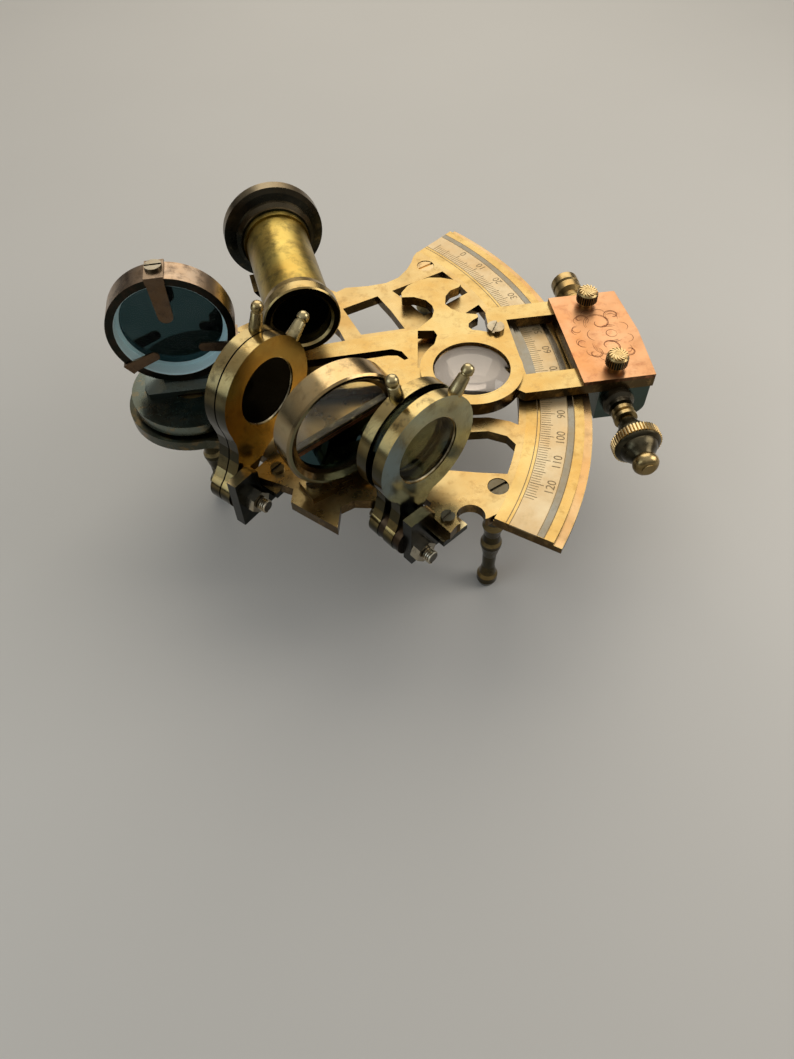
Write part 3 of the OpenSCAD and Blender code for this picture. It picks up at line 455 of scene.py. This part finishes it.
LIFT = at(0, 0, TOP_Z)
SIGHT = 16.0
AT_HORIZON = LIFT @ at(33.2, -33.3, SIGHT) @ turn(0, 0, -65)
AT_MIRROR = LIFT @ at(-1.2, -0.6, 18.9) @ turn(0, 0, -90)
ALONG_SPINDLE = LIFT @ at(97.4, 0, -2.1) @ turn(90, 0, 0)
# A set of shades: its azimuth, distance, sideways place, tilt, reach, pitch and the height
# of its nut's face over the front shade
SETS = {
    "index": (-45.5, 26.5, -0.45, 32.5, 23.4, 3.0, 5.6),
    "horizon": (-56.0, 60.8, 16.95, 17.1, 21.9, 4.45, 6.5),
}
SHADE_T = 2.65
SHADE_R = 12.2
# Each set's pins: the turn of the front and of the back one round the shade, and their outline
PIN_TURN = {"index": (-24, 15), "horizon": (-24, 30)}
PIN = ((0.001, SHADE_R - 0.3), (1.4, SHADE_R - 0.3), (1.48, SHADE_R + 0.1), (1.42, SHADE_R + 0.9),
       (1.2, SHADE_R + 3.5), (1.17, SHADE_R + 3.6), (0.98, SHADE_R + 3.72),
       (0.98, SHADE_R + 3.95), (1.2, SHADE_R + 4.1), (1.27, SHADE_R + 4.35),
       (1.27, SHADE_R + 4.9), (1.15, SHADE_R + 5.4), (0.85, SHADE_R + 5.75),
       (0.45, SHADE_R + 5.95), (0.001, SHADE_R + 6.0))
SHADE_HOLE = 7.6
# The near knob and its cap, along the spindle
KNOB = ((1.56, 23.6), (2.15, 23.6), (2.55, 25.0), (3.2, 26.0), (3.9, 26.9), (3.95, 27.8),
        (4.9, 28.2), (5.2, 28.6), (5.2, 31.0), (4.9, 31.4), (4.2, 31.7), (4.1, 32.3),
        (3.4, 33.3), (2.6, 34.1), (2.3, 34.7), (1.56, 34.7))
KNOB_CAP = ((1.0, 34.6), (2.3, 34.7), (2.75, 35.2), (2.95, 36.0), (2.85, 36.8), (2.4, 37.5),
            (1.7, 37.9), (1.1, 37.9), (0.9, 37.3), (0.001, 37.2), (0.001, 34.6))


def at_set(key):
    """The set's bolt: local +Y up along the shades, +Z to the front."""
    azimuth, distance, side, tilt, reach = SETS[key][:5]
    across = side - reach * math.sin(math.radians(tilt))
    height = SIGHT - reach * math.cos(math.radians(tilt))
    return LIFT @ turn(0, 0, azimuth) @ at(distance, across, height) @ turn(90, 0, 90)


def on_shade(key, back):
    """The middle of a shade's window, at its back face."""
    return (at_set(key) @ turn(0, 0, -SETS[key][3])
            @ at(0, SETS[key][4], -SHADE_T - back * SETS[key][5]))


FINISH = {
    "frame_plate": "brass", "scale_arc": "arc", "scale_strip": "ivory", "leg_near": "leg",
    "leg_far": "leg", "leg_apex": "leg", "leg_screws": "leg_screw", "pivot_axle": "rod",
    "pivot_washer": "rod", "scope_barrel": "barrel", "scope_objective_ring": "olive",
    "scope_eye_cup": "black", "scope_objective_lens": "smoke", "scope_eye_lens": "smoke",
    "scope_cradle": "dark", "cradle_screws": "steel", "horizon_foot": "brass",
    "horizon_ring": "mirror_ring", "horizon_clear_glass": "clear",
    "horizon_silvered_glass": "mirror", "horizon_screws": "steel",
    "index_shade_bracket": "bracket", "horizon_shade_bracket": "bracket",
    "index_shade_bolt": "dark_steel", "horizon_shade_bolt": "dark_steel",
    "shade_nuts": "nut", "shade_washers": "washer", "bracket_screws": "dark_steel",
    "index_arm": "arm",
    "magnifier_lens": "lens", "vernier_plate": "silver", "vernier_screw": "steel",
    "index_mirror_foot": "base", "index_mirror_ring": "red", "index_mirror_glass": "plate",
    "mirror_clips": "clip", "clip_screws": "steel", "clamp_block": "block",
    "cover_plate": "copper", "spindle_bushes": "dark_steel", "tangent_spindle": "rod",
    "near_knob": "knob", "far_knob": "rod", "thumb_screw_near": "rod",
    "thumb_screw_far": "rod", "index_shade_front": "shade_front",
    "index_shade_back": "shade_index", "horizon_shade_front": "shade_grey",
    "horizon_shade_back": "shade_grey",
}
for _set in ("index", "horizon"):
    for _side in ("front", "back"):
        FINISH[f"{_set}_glass_{_side}"] = "smoke" if _set == "index" else "tinted"
        FINISH[f"{_set}_pin_{_side}"] = "pin"

# The rounded edges' colour, lighter than the faces: partly wear where the patina has rubbed
# through, partly painted highlight where the edges catch the light
EDGE = {
    "brass": "worn", "arc": "worn", "arm": "worn", "dark": "worn_dark", "base": "worn_dark",
    "block": "worn_dark", "olive": "worn_dark", "leg": "worn_dark", "shade_front": "worn_dark",
    "shade_index": "worn_dark", "shade_grey": "worn_dark", "bracket": "worn_dark",
    "barrel": "worn", "red": "clip", "black": "worn_dark", "knob": "worn_dark",
}


def length_property(name, description, default, low, high):
    """A property that holds a length; the three lengths are given in millimetres."""
    return bpy.props.FloatProperty(
        name=name, description=description, default=default * MM, min=low * MM, max=high * MM,
        subtype="DISTANCE", unit="LENGTH", precision=5)


def colour_property(name, description, default):
    """A property that holds a linear colour."""
    return bpy.props.FloatVectorProperty(
        name=name, description=description, default=default, min=0.0, max=1.0, size=3,
        subtype="COLOR")


class SextantSettings(bpy.types.PropertyGroup):
    """The sizes, colours and lights that a user may want to change."""

    edge: length_property("Edge", "Width of the rounding on the metal's edges", 0.14, 0.0, 0.4)
    smooth: bpy.props.FloatProperty(
        name="Smooth angle", description="Faces meeting at less than this angle shade smoothly",
        default=math.radians(32), min=math.radians(5), max=math.radians(60), subtype="ANGLE")
    tick: length_property("Tick", "Length of the scale's shortest ticks", 2.1, 1.0, 3.0)
    digit: length_property("Digit", "Height of the scale's numerals", 2.7, 1.0, 3.0)
    scroll: length_property("Scroll", "Width of the cover plate's engraved lines", 0.17, 0.05, 0.3)
    teeth: bpy.props.IntProperty(
        name="Teeth", description="Teeth milled round the tangent screw's wheel", default=46,
        min=20, max=90)
    # Brass, copper and scale colours are the lit top colours; their sides get painted shade
    brass_colour: colour_property(
        "Brass", "The frame plate's brass where it faces up", (0.57, 0.43, 0.2))
    copper_colour: colour_property("Copper", "The cover plate's copper", (0.7, 0.39, 0.21))
    scale_colour: colour_property("Scale", "The graduated strip", (0.72, 0.59, 0.38))
    glass_colour: colour_property(
        "Horizon shades", "The tint of the horizon shades' glasses", (0.2, 0.23, 0.22))
    floor_colour: colour_property(
        "Floor", "The floor under the instrument", (0.62, 0.61, 0.59))
    key_power: bpy.props.FloatProperty(
        name="Key light", description="Power of the main light, in watts", default=1.2,
        min=0.0, max=10.0, unit="POWER")


class SEXTANT_OT_finish(bpy.types.Operator):
    """Gives every CAD node its finish and its softened edges"""

    bl_idname = "sextant.finish"
    bl_label = "Finish the frame"

    def execute(self, context):
        settings = context.scene.sextant
        make_materials(settings)
        for name, finish in FINISH.items():
            obj = bpy.data.objects[name]
            obj.data.materials.clear()
            obj.data.materials.append(MATERIALS[finish])
            if finish in EDGE:
                obj.data.materials.append(MATERIALS[EDGE[finish]])
            obj.data.polygons.foreach_set("use_smooth", [True] * len(obj.data.polygons))
            bevel = obj.modifiers.new("edge", "BEVEL")
            bevel.width = settings.edge
            bevel.segments = 2
            bevel.limit_method = "ANGLE"
            bevel.angle_limit = settings.smooth
            bevel.harden_normals = True
            bevel.use_clamp_overlap = True
            # The bevels take the lighter edge colour: rubbed wear and painted highlight
            bevel.material = 1 if finish in EDGE else -1
        return {"FINISHED"}


class SEXTANT_OT_scale(bpy.types.Operator):
    """Engraves the arc: ticks, numerals, groove lines and the strips beside the scale"""

    bl_idname = "sextant.scale"
    bl_label = "Engrave the scale"

    def execute(self, context):
        tick, digit = context.scene.sextant.tick / MM, context.scene.sextant.digit / MM

        def angle(units):
            return ZERO_ANGLE - units / 2

        def ticks(work):
            for unit in range(-10, 127):
                long = tick + (0.9 if unit % 10 == 0 else 0.45 if unit % 5 == 0 else 0)
                place = turn(0, 0, angle(unit))
                width = 0.07 if unit % 5 else 0.1
                block(work, (TICK_R, -width, -0.005), (TICK_R + long, width, 0.02), place)

        def numerals(work):
            for unit in range(0, 121, 10):
                x, y = polar(DIGIT_R, angle(unit))
                numeral(work, str(unit), digit, at(x, y, 0.0) @ turn(0, 0, angle(unit) + 90))

        def grooves(work):
            for radius, width in ((79.55, 0.2), (80.3, 0.16), (86.4, 0.16), (87.9, 0.22)):
                band(work, radius - width / 2, radius + width / 2, -LIMB_END, LIMB_END,
                     -0.02, 0.012)

        piece("scale_ticks", "frame", "ink", ticks)
        piece("scale_numerals", "frame", "ink", numerals)
        piece("limb_grooves", "frame", "ink", grooves)
        # A flat grey band for a shallow groove: its grey is partly the groove's painted shade
        piece("limb_grey_strip", "frame", "silver",
              lambda work: band(work, 86.5, 87.8, -LIMB_END, LIMB_END, -0.02, 0.008))
        piece("limb_edge_step", "frame", "rose",
              lambda work: band(work, 90.2, 91.85, -37.65, 37.65, -0.92, -0.88))
        return {"FINISHED"}


class SEXTANT_OT_threads(bpy.types.Operator):
    """Cuts the screw threads, and mills the wheel and the thumb screws"""

    bl_idname = "sextant.threads"
    bl_label = "Cut the threads"

    def execute(self, context):
        teeth = context.scene.sextant.teeth
        for key in SETS:
            piece(f"{key}_bolt_thread", "frame", "crest",
                  lambda work: thread(work, 1.2, 1.5, 0.5, 0.15, 2.0),
                  at_set(key) @ at(0, 0, SETS[key][6]))
        piece("tangent_thread_near", "tangent_screw", "rod",
              lambda work: thread(work, 1.44, 1.72, 0.62, 23.1, 24.3), ALONG_SPINDLE)
        piece("tangent_wheel_milling", "tangent_screw", "knurl",
              lambda work: milled(work, 5.2, 5.55, 28.75, 30.85, teeth), ALONG_SPINDLE)
        knob = piece("near_knob_turned", "tangent_screw", "knob",
                     lambda work: spun(work, KNOB), ALONG_SPINDLE)
        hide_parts("near_knob")
        piece("near_knob_cap", "tangent_screw", "rod",
              lambda work: spun(work, KNOB_CAP), ALONG_SPINDLE)
        for name, side in (("thumb_screw_near", -1), ("thumb_screw_far", 1)):
            spot = LIFT @ at(97, side * 11.8, 4.3)
            piece(f"{name}_milling", name, "black",
                  lambda work: milled(work, 2.3, 2.56, 1.25, 3.3, 26), spot)
            piece(f"{name}_crown", name, "knurl", crown, spot)
        return {"FINISHED"}


class SEXTANT_OT_optics(bpy.types.Operator):
    """Sets the retaining rings, the mirror's edge strips and the rims round the glasses"""

    bl_idname = "sextant.optics"
    bl_label = "Dress the optics"

    def execute(self, context):
        def retaining(work):
            spun(work, ((SHADE_HOLE - 0.3, 2.12), (SHADE_HOLE - 0.02, 2.12),
                        (SHADE_HOLE - 0.02, 2.4), (SHADE_HOLE - 0.16, 2.4)))

        def shade_glass(work):
            spun(work, ((0.001, 0.12), (SHADE_HOLE + 0.72, 0.12), (SHADE_HOLE + 0.72, 1.17),
                        (SHADE_HOLE - 0.04, 1.17), (SHADE_HOLE - 0.04, 2.16), (0.001, 2.16)))

        for key in SETS:
            for back, side in enumerate(("front", "back")):
                name = f"{key}_shade_{side}"
                piece(f"{key}_retainer_{side}", name, "retainer", retaining, on_shade(key, back))
                glass = piece(f"{key}_glass_{side}_disc", name,
                              "smoke" if key == "index" else "tinted", shade_glass,
                              on_shade(key, back))
                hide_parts(f"{key}_glass_{side}")
                spot = on_shade(key, back) @ turn(0, 0, PIN_TURN[key][back]) @ at(
                    0, 0, SHADE_T / 2) @ turn(-90, 0, 0)
                pin = piece(f"{key}_pin_{side}_turned", name, "pin",
                            lambda work: spun(work, PIN, 48), spot)
                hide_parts(f"{key}_pin_{side}")
        split = AT_HORIZON @ turn(8, 0, 0)
        piece("horizon_edge_dark", "frame", "speckled",
              lambda work: block(work, (-4.5, -10.6, -0.55), (-2.1, 10.6, 0.25)), split)
        piece("horizon_edge_copper", "frame", "copper",
              lambda work: block(work, (-4.45, -10.5, -1.5), (-2.0, 10.5, -0.62)), split)
        piece("index_mirror_silvering", "arm", "mirror",
              lambda work: spun(work, ((0.001, GLASS_BACK - 0.05), (11.86, GLASS_BACK - 0.05),
                                       (11.86, GLASS_BACK), (0.001, GLASS_BACK))),
              AT_MIRROR @ turn(0, 90, 0))
        piece("index_mirror_wall", "arm", "frosted",
              lambda work: spun(work, ((10.95, -3.335), (GLASS_R, -3.335),
                                       (GLASS_R, GLASS_FRONT), (11.84, GLASS_FRONT),
                                       (11.84, -3.28), (10.95, -3.28))),
              AT_MIRROR @ turn(0, 90, 0))
        piece("lens_rim", "arm", "arm",
              lambda work: spun(work, ((8.86, 3.42), (9.36, 3.42), (9.36, 4.22), (9.02, 4.22))),
              LIFT @ at(64.4, -6.3, 0))
        return {"FINISHED"}


class SEXTANT_OT_cover(bpy.types.Operator):
    """Engraves a plain scroll ornament and a border on the copper plate"""

    bl_idname = "sextant.cover"
    bl_label = "Engrave the cover plate"

    def execute(self, context):
        line = context.scene.sextant.scroll / MM

        def curl(work, centre, start, sweep, radius, shrink, width=1.0):
            points = []
            for i in range(29):
                share = i / 28
                x, y = polar(radius * (1 - shrink * share), start + sweep * share)
                points.append((centre[0] + x, centre[1] + y))
            stroke(work, points, width * line, COVER_Z, COVER_Z + ENGRAVED)

        def ornament(work):
            for side in (-1, 1):
                for inset, width in ((0, 1.2), (0.42, 0.65)):
                    curl(work, (98.0, 4.3 * side), 200 * side, -410 * side, 3.9 - inset, 0.78,
                         width)
                    curl(work, (102.1, 6.6 * side), 230 * side, -330 * side, 2.4 - inset, 0.72,
                         width)
                    curl(work, (94.0, 6.3 * side), 300 * side, 300 * side, 2.1 - inset, 0.66,
                         width)
                curl(work, (92.2, 2.4 * side), 80 * side, 260 * side, 1.6, 0.6)
                curl(work, (99.8, 0), 90 * side - 35, 70, 3.1, 0.0)
                curl(work, (99.8, 0), 90 * side - 25, 50, 2.6, 0.0)
            curl(work, (99.9, 0), 0, 360, 1.3, 0.0)
            curl(work, (96.2, 0), 120, 120, 2.2, 0.0)
            for i in range(12):
                angle = 30 * i + 15
                x, y = polar(1, angle)
                curl(work, (97.6 + 5.6 * x, 8.0 * y), angle - 80, 160, 1.5, 0.0, 0.8)

        piece("cover_scroll", "arm", "engraving", ornament)
        return {"FINISHED"}


class SEXTANT_OT_stage(bpy.types.Operator):
    """Sets the floor, the soft lights and the camera at the photograph's viewing angle"""

    bl_idname = "sextant.stage"
    bl_label = "Set the stage"

    def execute(self, context):
        scene = context.scene
        settings = scene.sextant
        mesh = bpy.data.meshes.new("floor")
        work = bmesh.new()
        bmesh.ops.create_grid(work, x_segments=1, y_segments=1, size=4)
        work.to_mesh(mesh)
        work.free()
        floor = bpy.data.objects.new("floor", mesh)
        floor.location.z = -0.00005
        scene.collection.objects.link(floor)
        material = bpy.data.materials.new("floor")
        tree, shader = links_of(material)
        place = tree.nodes.new("ShaderNodeTexCoord").outputs["Object"]
        film = noise(tree, place, 9, 3, 0.5)
        worn = [c * 1.03 for c in settings.floor_colour]
        tree.links.new(mixed(tree, ramp(tree, film, 0.3, 0.7), settings.floor_colour, worn),
                       shader.inputs["Base Color"])
        shader.inputs["Roughness"].default_value = 0.85
        mesh.materials.append(material)
        world = bpy.data.worlds.new("studio")
        world.use_nodes = True
        tree = world.node_tree
        sky = tree.nodes["Background"]
        split = tree.nodes.new("ShaderNodeSeparateXYZ")
        tree.links.new(tree.nodes.new("ShaderNodeTexCoord").outputs["Generated"], split.inputs[0])
        height = ramp(tree, split.outputs["Z"], 0.0, 0.9)
        tree.links.new(mixed(tree, height, (0.045, 0.048, 0.052), (0.62, 0.6, 0.56)),
                       sky.inputs["Color"])
        sky.inputs["Strength"].default_value = 0.66
        scene.world = world
        aim = Vector((50, -5, 40)) * MM
        for name, spot, size, power, tint in (
            ("key", (120, 330, 400), 0.5, settings.key_power, (1.0, 0.92, 0.78)),
            ("fill", (-340, -160, 240), 0.3, 0.35, (0.8, 0.92, 1.0)),
            ("rim", (330, -60, 200), 0.2, 0.35, (1.0, 0.95, 0.88)),
        ):
            light = bpy.data.lights.new(name, "AREA")
            light.shape = "SQUARE"
            light.size = size
            light.energy = power
            light.color = tint
            lamp = bpy.data.objects.new(name, light)
            lamp.location = Vector(spot) * MM
            lamp.rotation_euler = (aim - lamp.location).to_track_quat("-Z", "Y").to_euler()
            scene.collection.objects.link(lamp)
        data = bpy.data.cameras.new("view")
        data.sensor_fit = "AUTO"
        data.sensor_width = SENSOR
        data.lens = SENSOR * FOCAL
        data.clip_start = 0.002
        data.clip_end = 10.0
        camera = bpy.data.objects.new("view", data)
        right = Vector(VIEW_RIGHT).normalized()
        forward = Vector(VIEW_AHEAD).normalized()
        up = right.cross(forward).normalized()
        matrix = Matrix((right, up, -forward)).transposed().to_4x4()
        matrix.translation = (Vector(VIEW_FROM) + Vector((0, 0, TOP_Z))) * MM
        camera.matrix_world = matrix
        scene.collection.objects.link(camera)
        scene.camera = camera
        scene.view_settings.view_transform = "Standard"
        return {"FINISHED"}


class SEXTANT_PT_panel(bpy.types.Panel):
    """The dressing's settings and steps"""

    bl_label = "Sextant"
    bl_idname = "SEXTANT_PT_panel"
    bl_space_type = "VIEW_3D"
    bl_region_type = "UI"
    bl_category = "Sextant"

    def draw(self, context):
        for name in SextantSettings.__annotations__:
            self.layout.prop(context.scene.sextant, name)
        for step in STEPS:
            self.layout.operator(step.bl_idname)


STEPS = (SEXTANT_OT_finish, SEXTANT_OT_scale, SEXTANT_OT_threads, SEXTANT_OT_optics,
         SEXTANT_OT_cover, SEXTANT_OT_stage)
CLASSES = (SextantSettings, *STEPS, SEXTANT_PT_panel)


def register():
    """Registers the classes and the settings."""
    for item in CLASSES:
        bpy.utils.register_class(item)
    bpy.types.Scene.sextant = bpy.props.PointerProperty(type=SextantSettings)


def unregister():
    """Takes the classes and the settings out again."""
    del bpy.types.Scene.sextant
    for item in reversed(CLASSES):
        bpy.utils.unregister_class(item)


def main():
    """Dresses the frame."""
    register()
    bpy.ops.sextant.finish()
    bpy.ops.sextant.scale()
    bpy.ops.sextant.threads()
    bpy.ops.sextant.optics()
    bpy.ops.sextant.cover()
    bpy.ops.sextant.stage()


if __name__ == "__main__":
    main()
